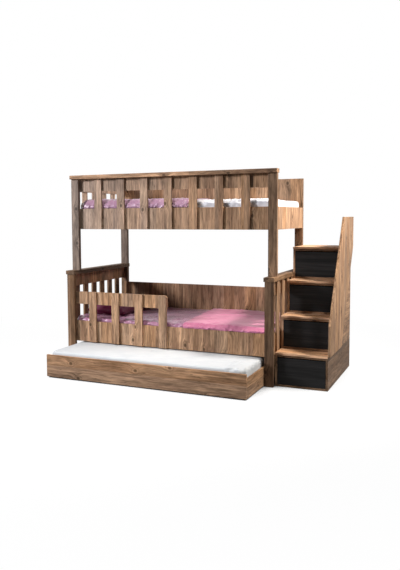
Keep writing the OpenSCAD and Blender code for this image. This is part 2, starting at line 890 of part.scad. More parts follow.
// A sprung mattress in its cover, on the floor of its own frame
module mattress(length, width, t) {
    rings = mattress_rings(t);
    n = 6;
    count = 4 * n;
    points = [
        for (ring = rings)
            for (p = round_outline(length - 2 * ring[0], width - 2 * ring[0],
                                   max(mattress_corner - ring[0], 8), n))
                [p[0], p[1], ring[1]]
    ];
    last = (len(rings) - 1) * count;
    side_faces = [
        for (j = [0:len(rings) - 2])
            for (i = [0:count - 1])
                let (a = j * count + i, b = j * count + (i + 1) % count)
                    for (face = [[a, a + count, b], [b, a + count, b + count]]) face
    ];
    bottom_faces = [for (i = [1:count - 2]) [0, i, i + 1]];
    top_faces = [for (i = [1:count - 2]) [last, last + i + 1, last + i]];
    polyhedron(points = points, faces = concat(side_faces, bottom_faces, top_faces), convexity = 4);
}

// Closed skin between two grids of the same rows and columns, top above bottom
module grid_solid(top, bottom) {
    rows = len(top);
    cols = len(top[0]);
    size = rows * cols;
    points = concat([for (row = top) for (p = row) p], [for (row = bottom) for (p = row) p]);
    rim = concat(
        [for (c = [0:cols - 1]) c],
        [for (r = [1:rows - 1]) r * cols + cols - 1],
        [for (c = [1:cols - 1]) rows * cols - 1 - c],
        [for (r = [1:rows - 2]) (rows - 1 - r) * cols]
    );
    top_faces = [
        for (r = [0:rows - 2])
            for (c = [0:cols - 2])
                let (a = r * cols + c, b = a + cols)
                    for (face = [[a, b, a + 1], [a + 1, b, b + 1]]) face
    ];
    bottom_faces = [for (f = top_faces) [f[0] + size, f[2] + size, f[1] + size]];
    rim_faces = [
        for (i = [0:len(rim) - 1])
            let (a = rim[i], b = rim[(i + 1) % len(rim)])
                for (face = [[a, b, a + size], [b, b + size, a + size]]) face
    ];
    polyhedron(points = points, faces = concat(top_faces, bottom_faces, rim_faces), convexity = 6);
}

// Mattress of the lower bed
module lower_mattress() {
    placed() color(lilac)
        translate([0, front_t + lower_inner_width / 2, lower_base_z + soft_seat])
            mattress(mattress_length, lower_mattress_width, mattress_t);
}

// Mattress of the upper bed
module upper_mattress() {
    placed() color(white_linen)
        translate([0, (upper_front + front_t + rear_post_y) / 2, upper_base_z + soft_seat])
            mattress(mattress_length, upper_mattress_width, mattress_t);
}

// Mattress of the trundle bed
module trundle_mattress() {
    placed() color(white_linen)
        translate([0, trundle_inner_y + trundle_inner_depth / 2,
                   trundle_base_z + trundle_base_t + soft_seat])
            mattress(2 * (trundle_inner_half - trundle_mattress_gap), trundle_mattress_width,
                     trundle_mattress_t);
}

// Pillow at the head of the lower bed, its edges drawn in between the corners
module lower_pillow() {
    steps_l = 16;
    steps_w = 12;
    edge_draw = 0.07;
    seam = 1.5;
    flat_bottom = 0.32 * pillow_h;
    centre = [-mattress_length / 2 + pillow_inset + pillow_w / 2, front_t + lower_inner_width / 2];
    rest_z = lower_base_z + soft_seat + mattress_t + crown + bedding_gap;
    function swell(u, v) = pow((1 - pow(u, 4)) * (1 - pow(v, 4)), 0.55);
    function outline(u, v) = [
        centre[0] + pillow_w / 2 * v * (1 - edge_draw * (1 - u * u)),
        centre[1] - pillow_l / 2 * u * (1 - edge_draw * (1 - v * v))
    ];
    function height(u, v, side) =
        rest_z + flat_bottom + (side > 0 ? (pillow_h - flat_bottom) * swell(u, v)
                                         : -min(flat_bottom, pillow_h / 2 * swell(u, v)));
    grid = [
        for (i = [0:steps_l])
            [for (j = [0:steps_w]) [-cos(180 * i / steps_l), -cos(180 * j / steps_w)]]
    ];
    placed() color(plum) grid_solid(
        [for (row = grid) [for (p = row) concat(outline(p[0], p[1]), [height(p[0], p[1], 1) + seam])]],
        [for (row = grid) [for (p = row) concat(outline(p[0], p[1]), [height(p[0], p[1], -1)])]]
    );
}

// Long shallow folds of a spread blanket at a place on it, between 0 and 1
function folds(x, y) =
    let (wander = 60 * sin(y / 2.3) + 25 * sin(x / 1.7))
        0.5 + 0.25 * sin((x + wander) / 0.9) + 0.25 * sin((x * 0.6 - y * 0.8 + wander) / 1.3);

// A blanket over a mattress: columns run from head to foot, rows start at the front edge.
// frame is [front edge of the mattress, rear edge, top of the board before it, base of the mattress]
module blanket(columns, rows, frame, skew) {
    function inset(x, y) = min(y - frame[0], frame[1] - y, mattress_length / 2 - abs(x));
    function spanned(inset) = inset < edge_roll ? inset : inset + crown_span;
    function hangs(y) = y < frame[0] - bedding_gap;
    function over_mattress(x, y) = frame[3] + mattress_top(spanned(inset(x, y)), mattress_t);
    function under(x, y) = bedding_gap + (hangs(y) ? frame[2] : max(frame[2], over_mattress(x, y)));
    function spread(x, y) = x - skew * (1 - (x - columns[0]) / (columns[len(columns) - 1] - columns[0]))
                                * (y - frame[0]) / (frame[1] - frame[0]);
    bottom = [for (y = rows) [for (c = columns) let (x = spread(c, y)) [x, y, under(x, y)]]];
    edge_up = frame[3] + mattress_top(0, mattress_t) - frame[2];
    function hem_rise(y) = hangs(y) ? max(0, edge_up - hem_fall * (frame[0] - y)) : 0;
    top = [
        for (row = bottom)
            [for (p = row) p + [0, 0, blanket_t + hem_rise(p[1]) + fold_h * folds(p[0], p[1])]]
    ];
    grid_solid([for (i = [len(top) - 1:-1:0]) top[i]], [for (i = [len(bottom) - 1:-1:0]) bottom[i]]);
}

// Rows and columns of a blanket between two places, evenly spaced
function spaced(from, to, count) = [for (i = [0:count]) from + (to - from) * i / count];

// Folded blanket over the foot half of the lower bed, its hem on the side rail
module lower_blanket() {
    front = front_t + lower_side_gap;
    rear = front + lower_mattress_width;
    rows = concat(
        [front_t - blanket_hem, front],
        [for (i = [1:roll_steps]) front + roll_insets[i]],
        [for (inset = crown_insets) front + inset],
        spaced(front + blanket_first, rear - blanket_rear, 9)
    );
    columns = spaced(lower_blanket_x, post_inner_x - 2 * bedding_gap, 15);
    placed() color(pink)
        blanket(columns, rows,
                [front, rear, lower_side_z + side_board_h, lower_base_z + soft_seat],
                lower_blanket_skew);
}

// Blanket over the head half of the upper bed, its hem hanging to the side board
module upper_blanket() {
    front = upper_front + front_t + upper_side_gap;
    rear = front + upper_mattress_width;
    rows = concat(
        [front - upper_side_gap - blanket_hem, front - 2 * bedding_gap, front - bedding_gap],
        [for (i = [1:roll_steps]) front + roll_insets[i]],
        [for (inset = crown_insets) front + inset],
        spaced(front + blanket_first, rear - blanket_rear, 8)
    );
    columns = spaced(-post_inner_x + upper_blanket_head, upper_blanket_x, 18);
    placed() color(lilac)
        blanket(columns, rows,
                [front, rear, upper_side_z + side_board_h, upper_base_z + soft_seat], 0);
}

lower_posts();
end_caps();
upper_posts();
upper_cap_rail();
upper_guard_top_rail();
upper_front_side_board();
upper_guard_uprights();
upper_left_end_top_board();
upper_left_end_side_board();
upper_left_end_uprights();
upper_right_end_board();
upper_rear_panel();
lower_rear_panel();
lower_end_top_rails();
lower_end_bottom_rails();
lower_end_slats();
lower_side_rail();
lower_guard_rail();
lower_guard_uprights();
lower_bed_ledgers();
upper_bed_ledgers();
centre_bearers();
lower_bed_slats();
upper_bed_slats();
post_dowels();
stair_bolts();
trundle_front();
trundle_sides();
trundle_back();
trundle_base();
castor_brackets();
castor_axles();
castor_wheel_front_left();
castor_wheel_front_right();
castor_wheel_rear_left();
castor_wheel_rear_right();
stair_left_sides();
stair_right_sides();
stair_decks();
stair_backs();
stair_treads();
stair_handrail();
drawer_runners();
drawer_1_front();
drawer_2_front();
drawer_3_front();
drawer_4_front();
drawer_1_box();
drawer_2_box();
drawer_3_box();
drawer_4_box();
lower_mattress();
upper_mattress();
trundle_mattress();
lower_pillow();
lower_blanket();
upper_blanket();
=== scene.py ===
import math
import random

import bmesh
import bpy
import numpy as np
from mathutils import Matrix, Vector, noise


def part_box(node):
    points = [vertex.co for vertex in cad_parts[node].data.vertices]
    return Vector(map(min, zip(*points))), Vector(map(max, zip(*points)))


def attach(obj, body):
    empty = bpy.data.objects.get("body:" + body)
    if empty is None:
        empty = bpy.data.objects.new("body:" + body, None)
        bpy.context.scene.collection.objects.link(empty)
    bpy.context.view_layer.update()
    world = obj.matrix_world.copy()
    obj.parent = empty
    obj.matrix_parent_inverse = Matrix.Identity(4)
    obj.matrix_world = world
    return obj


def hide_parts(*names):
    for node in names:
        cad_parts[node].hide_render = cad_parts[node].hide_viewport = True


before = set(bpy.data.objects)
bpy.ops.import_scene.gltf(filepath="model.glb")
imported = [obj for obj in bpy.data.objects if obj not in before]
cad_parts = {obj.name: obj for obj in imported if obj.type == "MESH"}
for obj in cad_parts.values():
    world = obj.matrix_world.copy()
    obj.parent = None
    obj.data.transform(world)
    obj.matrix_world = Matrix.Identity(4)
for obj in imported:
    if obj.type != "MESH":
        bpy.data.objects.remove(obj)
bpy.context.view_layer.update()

scene = bpy.context.scene
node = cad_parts

# The camera stands 5.5 m in front of the bed's middle and 2.3 m to its right, 1.46 m above
# the floor, and looks 24.5 degrees to the left and 4.1 down. The shift places the bed in the
# upright picture as a cropped catalogue photograph does.
picture = (400, 570)                # pixels across and down
focal_px = 640.4                    # focal length, in pixels of that picture
principal_px = (181.90, 263.21)     # the pixel straight ahead of the lens
camera_data = bpy.data.cameras.new("camera")
camera_data.sensor_width = 36       # millimetres
camera_data.lens = focal_px * camera_data.sensor_width / picture[1]
camera_data.shift_x = (picture[0] / 2 - principal_px[0]) / picture[1]
camera_data.shift_y = (principal_px[1] - picture[1] / 2) / picture[1]
camera = bpy.data.objects.new("camera", camera_data)
camera.location = (2.3369, -5.5200, 1.4558)
camera.rotation_euler = (math.radians(90 - 4.126), math.radians(0.302), math.radians(24.505))
scene.collection.objects.link(camera)
scene.camera = camera
scene.view_settings.view_transform = "Standard"


# The studio: a sweep of white paper that fades into a white wall. Near the bed the paper takes the
# bed's real soft shadow and a painted contact shade, and it is plain white further out, so no
# horizon shows.
def linear(hex_colour):
    """An sRGB hex colour as linear red, green, blue and alpha."""
    parts = [int(hex_colour[i:i + 2], 16) / 255 for i in (1, 3, 5)]
    return [c / 12.92 if c <= 0.04045 else ((c + 0.055) / 1.055) ** 2.4 for c in parts] + [1]


def add(tree, kind, inputs=None, **settings):
    """Adds one node. Settings are its properties; an input is a number, a colour or a link."""
    new = tree.nodes.new("ShaderNode" + kind)
    for name, value in settings.items():
        setattr(new, name, value)
    for name, value in (inputs or {}).items():
        socket = new.inputs[name] if isinstance(name, int) else next(
            s for s in new.inputs if s.enabled and s.name == name)
        if isinstance(value, bpy.types.Node):
            value = next(s for s in value.outputs if s.enabled)
        if isinstance(value, bpy.types.NodeSocket):
            tree.links.new(value, socket)
        else:
            socket.default_value = value
    return new


def material(name):
    """An empty node material, ready for its nodes."""
    new = bpy.data.materials.new(name)
    new.use_nodes = True
    new.node_tree.nodes.clear()
    return new, new.node_tree


def seen_directly(tree):
    """1 for rays from the camera, also by way of a mirror or glass, and 0 for all others."""
    seen = add(tree, "LightPath")
    mirrored = add(tree, "Math", {0: seen.outputs["Is Camera Ray"],
                                  1: seen.outputs["Is Glossy Ray"]}, operation="MAXIMUM")
    return add(tree, "Math", {0: mirrored, 1: seen.outputs["Is Transmission Ray"]},
               operation="MAXIMUM")


half_floor = 30                   # metres from the bed to each edge of the paper
below_feet = 0.0005               # metres, so that the feet and the paper share no face
fade_start, fade_end = 1.5, 4.1   # metres from the bed, between which its shadow fades out
floor_mesh = bpy.data.meshes.new("floor")
floor_mesh.from_pydata([(half_floor * x, half_floor * y, 0) for x, y in
                        ((-1, -1), (1, -1), (1, 1), (-1, 1))], [], [(0, 1, 2, 3)])
floor = bpy.data.objects.new("floor", floor_mesh)
scene.collection.objects.link(floor)
floor.location.z = -below_feet
floor_paper, tree = material("white_paper_sweep")
place = add(tree, "TexCoord")
away = add(tree, "VectorMath", {0: place.outputs["Object"]}, operation="LENGTH")
far = add(tree, "MapRange", {"Value": away.outputs["Value"], "From Min": fade_start,
                             "From Max": fade_end}, interpolation_type="SMOOTHSTEP")
paper = add(tree, "BsdfDiffuse", {"Color": linear("#9a9a9a")})
# painted contact shade: the glow fades out where little of the half metre above the paper is open,
# under the bed and in the 10 mm gap below the trundle bed's front
dark_when_open, bright_when_open = 0.22, 0.52
open_above = add(tree, "AmbientOcclusion", {"Distance": 0.5}, samples=8)
glow_less_painted_contact_shade = add(tree, "MapRange", {
    "Value": open_above.outputs["AO"], "From Min": dark_when_open,
    "From Max": bright_when_open, "To Min": 0.0, "To Max": 0.94})
near_glow = add(tree, "Emission", {"Color": linear("#ffffff"), "Strength": glow_less_painted_contact_shade})
lit_paper = add(tree, "BsdfDiffuse", {"Color": linear("#5a5a5a")})
near = add(tree, "AddShader", {0: near_glow, 1: lit_paper})
white = add(tree, "Emission", {"Color": linear("#ffffff"), "Strength": 1})
looked_at = add(tree, "MixShader", {0: far, 1: near, 2: white})
sweep = add(tree, "MixShader", {0: seen_directly(tree), 1: paper, 2: looked_at})
add(tree, "OutputMaterial", {"Surface": sweep})
floor_mesh.materials.append(floor_paper)

studio = bpy.data.worlds.new("studio")
scene.world = studio
studio.use_nodes = True
tree = studio.node_tree
tree.nodes.clear()
room_light = add(tree, "Background", {"Color": linear("#f6f7ff"), "Strength": 0.07})
wall = add(tree, "Background", {"Color": linear("#ffffff"), "Strength": 1})
add(tree, "OutputWorld", {"Surface": add(tree, "MixShader", {
    0: seen_directly(tree), 1: room_light, 2: wall})})

# Four softboxes with grids. The left one rakes the upper guard from 50 degrees to its side,
# so each upright throws a dark band. The top one, above the trundle bed, lights the front of
# the lower bed, the right one hangs beyond the stairs, and the weak back one shows the rear.
# name, place, the point it faces, side in metres, spread in degrees, watts, colour
softboxes = [
    ("softbox_left", (-4.6, -3.8, 3.1), (0.3, -0.3, 0.9), 1.0, 120, 165, "#fbfaff"),
    ("softbox_top", (-0.3, -1.4, 3.8), (-0.3, -0.6, 0.3), 0.8, 60, 6, "#fff7ee"),
    ("softbox_right", (3.1, 0.1, 3.6), (0.9, 0.2, 1.6), 0.7, 80, 58, "#fff7ef"),
    ("softbox_back", (0.4, 4.6, 2.4), (0.0, 0.7, 0.8), 1.0, 90, 22, "#fffaf4"),
]
for name, place_of, faces, side, spread, watts, colour in softboxes:
    lamp = bpy.data.lights.new(name, "AREA")
    lamp.shape = "SQUARE"
    lamp.size = side
    lamp.spread = math.radians(spread)
    lamp.energy = watts
    lamp.color = linear(colour)[:3]
    holder = bpy.data.objects.new(name, lamp)
    holder.location = place_of
    holder.rotation_euler = (Vector(faces) - Vector(place_of)).to_track_quat("-Z", "Y").to_euler()
    holder.visible_glossy = name != "softbox_back"   # no glare on treads and satin
    scene.collection.objects.link(holder)


# The frame's boards: 18 mm chipboard faced with printed oak, a matt melamine with pressed
# pores, cut so that the print's grain runs upright on posts, uprights, rails and panels.
# Each board has its own part of the print: staves of changing tone, streaks, pores, knots.
def oak_print(name, grain="Z", tone=1.0, start=(0, 0, 0), tone_beyond=None,
              split=("X", 0.0), painted_light_to_left=0.0):
    """Oak print with its grain along one axis. Start shifts the print, tone darkens it,
    tone_beyond is the tone beyond the split, an axis and a place on it, and the last argument is
    the share of a paler grey mixed in towards the bed's left end, which is painted light from the
    near left lamp."""
    new, tree = material(name)
    stave = 0.118               # width of one stave of the print, in metres
    cells_to_metre = (4.2, 3.1)     # cells that may hold a knot, across and along the grain
    knot_share = 0.5            # share of the cells that do
    # parts of a cell: the knot's core and its soft edge, the ring round it, the swirl
    core_radius, core_edge, ring_radius, ring_reach, swirl_reach = 0.03, 0.075, 0.115, 0.035, 0.3
    knot_push = 0.03            # metres by which a knot pushes the figure aside
    stave_jump = 23.0           # metres by which the figure shifts from stave to stave, at most
    turn = {"Z": (0, 0, 0), "X": (0, math.radians(90), 0), "Y": (math.radians(90), 0, 0)}[grain]
    place = add(tree, "TexCoord")
    laid = add(tree, "Mapping", {"Vector": place.outputs["Object"], "Rotation": turn,
                                 "Location": start})
    axis = add(tree, "SeparateXYZ", {0: laid})
    across = add(tree, "Math", {0: axis.outputs["X"], 1: axis.outputs["Y"]}, operation="ADD")
    # knots lie on the face: a flat cell pattern over the way across and the way along
    cell_u = add(tree, "Math", {0: across, 1: cells_to_metre[0]}, operation="MULTIPLY")
    cell_g = add(tree, "Math", {0: axis.outputs["Z"], 1: cells_to_metre[1]},
                 operation="MULTIPLY")
    cell_at = add(tree, "CombineXYZ", {"X": cell_u, "Y": cell_g})
    cell = add(tree, "TexVoronoi", {"Vector": cell_at, "Scale": 1.0}, voronoi_dimensions="2D")
    has_knot = add(tree, "Math", {0: cell.outputs["Color"], 1: 1 - knot_share},
                   operation="GREATER_THAN")
    core = add(tree, "MapRange", {"Value": cell.outputs["Distance"], "From Min": core_radius,
                                  "From Max": core_edge, "To Min": 1.0, "To Max": 0.0},
               interpolation_type="SMOOTHSTEP")
    off_ring = add(tree, "Math", {0: add(tree, "Math", {
        0: cell.outputs["Distance"], 1: ring_radius}, operation="SUBTRACT")},
        operation="ABSOLUTE")
    ring = add(tree, "MapRange", {"Value": off_ring, "From Min": 0.0, "From Max": ring_reach,
                                  "To Min": 0.3, "To Max": 0.0},
               interpolation_type="SMOOTHSTEP")
    knot = add(tree, "Math", {0: add(tree, "Math", {0: core, 1: ring}, operation="ADD"),
                              1: has_knot}, operation="MULTIPLY")
    swirl = add(tree, "MapRange", {"Value": cell.outputs["Distance"], "From Min": 0.0,
                                   "From Max": swirl_reach, "To Min": 1.0, "To Max": 0.0},
                interpolation_type="SMOOTHSTEP")
    swirled = add(tree, "Math", {0: swirl, 1: has_knot}, operation="MULTIPLY")
    # staves: for each a random tone, greyed in two fifths of them and warmed in about as
    # many, and a random piece of the figure
    stave_number = add(tree, "Math", {0: add(tree, "Math", {0: across, 1: stave},
                                             operation="DIVIDE")}, operation="FLOOR")
    stave_tone = add(tree, "TexWhiteNoise", {"W": stave_number}, noise_dimensions="1D")
    jump = add(tree, "Math", {0: stave_tone, 1: stave_jump}, operation="MULTIPLY")
    figure_x = add(tree, "Math", {0: swirled, 1: knot_push, 2: axis.outputs["X"]},
                   operation="MULTIPLY_ADD")
    figure_z = add(tree, "Math", {0: axis.outputs["Z"], 1: jump}, operation="ADD")
    figure_at = add(tree, "CombineXYZ", {"X": figure_x, "Y": axis.outputs["Y"], "Z": figure_z})

    def figure(density, detail=2.0, roughness=0.5):
        """Noise stretched along the grain; density is its grain across and along, to the metre."""
        stretched = add(tree, "VectorMath", {
            0: figure_at, 1: (density[0], density[0], density[1])}, operation="MULTIPLY")
        return add(tree, "TexNoise", {"Vector": stretched, "Scale": 1.0, "Detail": detail,
                                      "Roughness": roughness})

    # broad figure 90 mm wide, clouds 35 mm, streaks 16 mm, dark flecks 10 mm, and pressed
    # pores 4 mm wide, which is coarser than the real 0.5 mm so that they still show
    broad = figure((11, 1.6), 3.0)
    cloud = figure((29, 5.5), 3.0, 0.65)
    streak = figure((62, 3.0), 3.0, 0.6)
    pore = figure((230, 8), 2.0, 0.7)
    fleck = figure((95, 12), 1.0)
    base = add(tree, "Mix", {"Factor": add(tree, "MapRange", {
        "Value": broad, "From Min": 0.36, "From Max": 0.64}), "A": linear("#8c6d55"),
        "B": linear("#c49f7e")}, data_type="RGBA")
    greyed = add(tree, "MapRange", {"Value": stave_tone, "From Min": 0.0, "From Max": 0.4,
                                    "To Min": 0.32, "To Max": 0.0})
    warmed = add(tree, "MapRange", {"Value": stave_tone, "From Min": 0.62, "From Max": 1.0,
                                    "To Min": 0.0, "To Max": 0.4})
    base = add(tree, "Mix", {"Factor": greyed, "A": base, "B": linear("#978370")},
               data_type="RGBA")
    base = add(tree, "Mix", {"Factor": warmed, "A": base, "B": linear("#a67b50")},
               data_type="RGBA")
    where = add(tree, "SeparateXYZ", {0: place.outputs["Object"]})
    # painted light: a paler grey is mixed in towards the left end, where the left lamp stands near
    painted_light_share = add(tree, "MapRange", {"Value": where.outputs["X"], "From Min": 0.3,
                                     "From Max": -1.2, "To Min": 0.0, "To Max": painted_light_to_left})
    base = add(tree, "Mix", {"Factor": painted_light_share, "A": base, "B": linear("#aa9a8e")},
               data_type="RGBA")
    other_seed = add(tree, "Math", {0: stave_number, 1: 7.31}, operation="ADD")
    stave_random = add(tree, "TexWhiteNoise", {"W": other_seed}, noise_dimensions="1D")
    beyond = add(tree, "Math", {0: where.outputs[split[0]], 1: split[1]},
                 operation="GREATER_THAN")
    board_tone = add(tree, "MapRange", {"Value": beyond, "To Min": tone,
                                        "To Max": tone_beyond or tone})
    stave_level = add(tree, "MapRange", {"Value": stave_random, "To Min": 0.88, "To Max": 1.08})
    darker = add(tree, "Math", {0: stave_level, 1: board_tone}, operation="MULTIPLY")
    # each figure's values between low and high, and how dark and bright it makes the board
    for value, low, high, darkest, brightest in (
            (cloud, 0.34, 0.6, 0.76, 1.2), (streak, 0.36, 0.62, 0.7, 1.2),
            (pore, 0.38, 0.60, 0.74, 1.16), (fleck, 0.74, 0.66, 0.5, 1.0),
            (knot, 0.0, 1.0, 1.0, 0.34)):
        step = add(tree, "MapRange", {"Value": value, "From Min": low, "From Max": high,
                                      "To Min": darkest, "To Max": brightest})
        darker = add(tree, "Math", {0: darker, 1: step}, operation="MULTIPLY")
    colour = add(tree, "VectorMath", {0: base, "Scale": darker}, operation="SCALE")
    matt = add(tree, "MapRange", {"Value": pore, "From Min": 0.3, "From Max": 0.7,
                                  "To Min": 0.7, "To Max": 0.55})
    pressed = add(tree, "Bump", {"Height": pore, "Distance": 0.0004, "Strength": 0.6})
    skin = add(tree, "BsdfPrincipled", {"Base Color": colour, "Roughness": matt,
                                        "Normal": pressed, "IOR": 1.5,
                                        "Specular IOR Level": 0.12})
    add(tree, "OutputMaterial", {"Surface": skin})
    return new


sharp_edge = math.radians(40)   # edges that turn more than this are banded
same_corner = 0.00005           # points nearer than this, in metres, are one corner


def edge_board(name, finish, edge=0.0012):
    """Gives a CAD board its finish, and the small round of its 1 mm edge banding."""
    board = node[name]
    board.data.materials.clear()
    board.data.materials.append(finish)
    weld = board.modifiers.new("joined corners", "WELD")
    weld.merge_threshold = same_corner
    rounded = board.modifiers.new("banded edge", "BEVEL")
    rounded.width = edge
    rounded.segments = 2
    rounded.limit_method = "ANGLE"
    rounded.angle_limit = sharp_edge


# The posts: two such boards glued face to face, with the grain upright. The lower ones stand on
# the floor, the upper ones on the end caps, held by dowels. The right ones are darker, which is
# painted shade where the left lamp rakes them; the upper ones are also painted paler towards the
# left.
edge_board("lower_posts", oak_print("oak_melamine_lower_posts", start=(0.61, 0.0, 3.3),
                                    tone=0.55, tone_beyond=0.38))
edge_board("upper_posts", oak_print("oak_melamine_posts", start=(0.07, 0.0, 1.9), tone=0.58,
                                    tone_beyond=0.53, painted_light_to_left=0.75))

# The upper bed's guard and left end: boards between the posts with an open slot between them, and
# uprights screwed to their faces from the inside. Paler and greyer towards the left end: painted
# light from the near left lamp.
upper_board_print = oak_print("oak_melamine_upper_boards", start=(1.13, 0.0, 4.2), tone=0.92,
                              painted_light_to_left=0.6)
for name in ("upper_guard_top_rail", "upper_front_side_board", "upper_left_end_top_board",
             "upper_left_end_side_board"):
    edge_board(name, upper_board_print)
upper_upright_print = oak_print("oak_melamine_upper_upright", start=(0.52, 0.0, 7.1),
                                painted_light_to_left=0.6)
for name in ("upper_guard_uprights", "upper_left_end_uprights"):
    edge_board(name, upper_upright_print)

# The lower bed's ends, side rail and guard, and the low board at the upper bed's right end:
# the same board between the posts, with uprights and slats screwed on from behind.
rail_print = oak_print("oak_melamine_rails", start=(1.43, 0.0, 2.6), tone=1.06)
for name in ("upper_right_end_board", "lower_end_top_rails", "lower_end_bottom_rails",
             "lower_side_rail", "lower_guard_rail"):
    edge_board(name, rail_print)
edge_board("lower_guard_uprights", oak_print("oak_melamine_upright", start=(0.31, 0.0, 0.4)))
edge_board("lower_end_slats", oak_print("oak_melamine_end_slats", start=(0.44, 0.0, 0.9),
                                        tone=0.66))

# The rear panels: one wide board behind each mattress, let into the rear posts' rebates,
# with the grain upright and the staves of the print side by side.
panel_print = oak_print("oak_melamine_panels", start=(0.83, 0.0, 5.2), tone=0.8)
for name in ("upper_rear_panel", "lower_rear_panel"):
    edge_board(name, panel_print)

# The caps: boards glued up to 36 mm, cut along the grain. They lie on the lower posts and on the
# upper guard. The ones on the posts are darker than the frame. The guard's cap has painted light
# over its left half and painted shade over its right half, following the left lamp's falloff.
edge_board("upper_cap_rail", oak_print("oak_melamine_cap_along_bed_painted_light_and_shade", "X", 1.12,
                                       (2.2, 0.0, 0.7), 0.8), 0.002)
edge_board("end_caps", oak_print("oak_melamine_cap_across_bed", "Y", 0.42,
                                 (0.4, 0.0, 3.3)), 0.002)

# The trundle bed's box: the same printed board with the grain along the bed on its front
# and back and along the sides, screwed round a plain base.
trundle_print = oak_print("oak_melamine_trundle_front", "X", 0.98, (0.9, 0.0, 1.6))
for name in ("trundle_front", "trundle_back"):
    edge_board(name, trundle_print)
edge_board("trundle_sides", oak_print("oak_melamine_trundle_sides", "Y", 0.75,
                                      (0.2, 0.0, 2.9)))

# The stair boxes: printed board with the grain upright on the left sides, the backs and the
# handrail, level on the right sides and along the treads, which stand out 12 mm at the front.
# On the right the lowest box is darker than the others, whose sides match the handrail.
lowest_box_height = 0.275
for name in ("stair_left_sides", "stair_backs"):
    edge_board(name, rail_print)
lowest_box_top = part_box("stair_right_sides")[0].z + lowest_box_height
edge_board("stair_right_sides", oak_print("oak_melamine_stair_side", "Y", 0.42,
                                          (0.5, 0.0, 0.2), 0.8, ("Z", lowest_box_top)))
edge_board("stair_handrail", oak_print("oak_melamine_handrail", "Z", 0.85, (0.52, 0.0, 2.2)))
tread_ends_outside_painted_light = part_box("stair_treads")[1].x - 0.002    # their ends keep a plain tone, outside the treads' painted light
# painted light: tone 1.5 brightens the treads well beyond the frame's print, standing in for the
# light that falls on them
edge_board("stair_treads", oak_print("oak_melamine_treads_painted_light", "X", 1.5, (1.7, 0.0, 0.9), 0.8,
                                     ("X", tread_ends_outside_painted_light)))
# painted shade: the decks' dark tone stands in for the shadow under the treads' overhang
edge_board("stair_decks", oak_print("oak_melamine_decks_painted_shade", "X", 0.7, (0.9, 0.0, 2.3)))

# The drawer fronts: charcoal ash print, brushed along the front, matt and almost black,
# screwed to the drawer boxes from the inside. Brush lines 7 mm wide, bands 40 mm wide.
charcoal, tree = material("charcoal_ash_melamine")
place = add(tree, "TexCoord")
brushed = add(tree, "TexNoise", {"Vector": add(tree, "VectorMath", {
    0: place.outputs["Object"], 1: (3.5, 60, 150)}, operation="MULTIPLY"), "Scale": 1.0,
    "Detail": 4.0, "Roughness": 0.6})
band = add(tree, "TexNoise", {"Vector": add(tree, "VectorMath", {
    0: place.outputs["Object"], 1: (1.2, 20, 26)}, operation="MULTIPLY"), "Scale": 1.0,
    "Detail": 2.0})
both = add(tree, "Math", {0: brushed, 1: band}, operation="MULTIPLY")
streaked = add(tree, "MapRange", {"Value": both, "From Min": 0.12, "From Max": 0.42})
ash = add(tree, "Mix", {"Factor": streaked, "A": linear("#0d0d0d"), "B": linear("#2d2c2c")},
          data_type="RGBA")
relief = add(tree, "Bump", {"Height": brushed, "Distance": 0.0005, "Strength": 0.7})
ash_matt = add(tree, "MapRange", {"Value": brushed, "To Min": 0.6, "To Max": 0.42})
add(tree, "OutputMaterial", {"Surface": add(tree, "BsdfPrincipled", {
    "Base Color": ash, "Roughness": ash_matt, "Normal": relief, "Specular IOR Level": 0.12})})
for number in (1, 2, 3, 4):
    edge_board(f"drawer_{number}_front", charcoal)

# The inside work: planed pine for slats, ledgers, bearers, runners and drawer boxes. It is
# pale, with yellow early wood and brown late wood lines 14 mm apart. The trundle bed's base,
# a birch-faced board that the mattress hides, has the same look here.
planed_pine, tree = material("planed_pine")
place = add(tree, "TexCoord")
lines = add(tree, "TexNoise", {"Vector": add(tree, "VectorMath", {
    0: place.outputs["Object"], 1: (70, 6, 70)}, operation="MULTIPLY"), "Scale": 1.0,
    "Detail": 3.0, "Distortion": 0.4})
late_wood = add(tree, "MapRange", {"Value": lines, "From Min": 0.4, "From Max": 0.66})
pine_colour = add(tree, "Mix", {"Factor": late_wood, "A": linear("#e3cda2"),
                                "B": linear("#c39e68")}, data_type="RGBA")
planed = add(tree, "Bump", {"Height": lines, "Distance": 0.0003, "Strength": 0.4})
add(tree, "OutputMaterial", {"Surface": add(tree, "BsdfPrincipled", {
    "Base Color": pine_colour, "Roughness": 0.58, "Normal": planed})})
for name in ("lower_bed_ledgers", "upper_bed_ledgers", "centre_bearers", "lower_bed_slats",
             "upper_bed_slats", "drawer_runners", "trundle_base", "drawer_1_box",
             "drawer_2_box", "drawer_3_box", "drawer_4_box"):
    edge_board(name, planed_pine)

# The castors and the stair boxes' bolts: bent forks of zinc-plated steel, screwed under the
# trundle's base, with steel axles. The zinc has spangles 4 mm wide in dull clouds.
zinc, tree = material("zinc_plated_steel")
place = add(tree, "TexCoord")
spangle = add(tree, "TexVoronoi", {"Vector": place.outputs["Object"], "Scale": 260.0})
clouds = add(tree, "TexNoise", {"Vector": place.outputs["Object"], "Scale": 45.0,
                                "Detail": 3.0})
dull = add(tree, "Math", {0: spangle.outputs["Distance"], 1: clouds}, operation="MULTIPLY")
zinc_colour = add(tree, "Mix", {"Factor": dull, "A": linear("#c9ccd0"),
                                "B": linear("#8f9499")}, data_type="RGBA")
zinc_rough = add(tree, "MapRange", {"Value": dull, "To Min": 0.28, "To Max": 0.5})
add(tree, "OutputMaterial", {"Surface": add(tree, "BsdfPrincipled", {
    "Base Color": zinc_colour, "Roughness": zinc_rough, "Metallic": 1.0})})
for name in ("castor_brackets", "castor_axles", "stair_bolts"):
    edge_board(name, zinc, 0.0003)

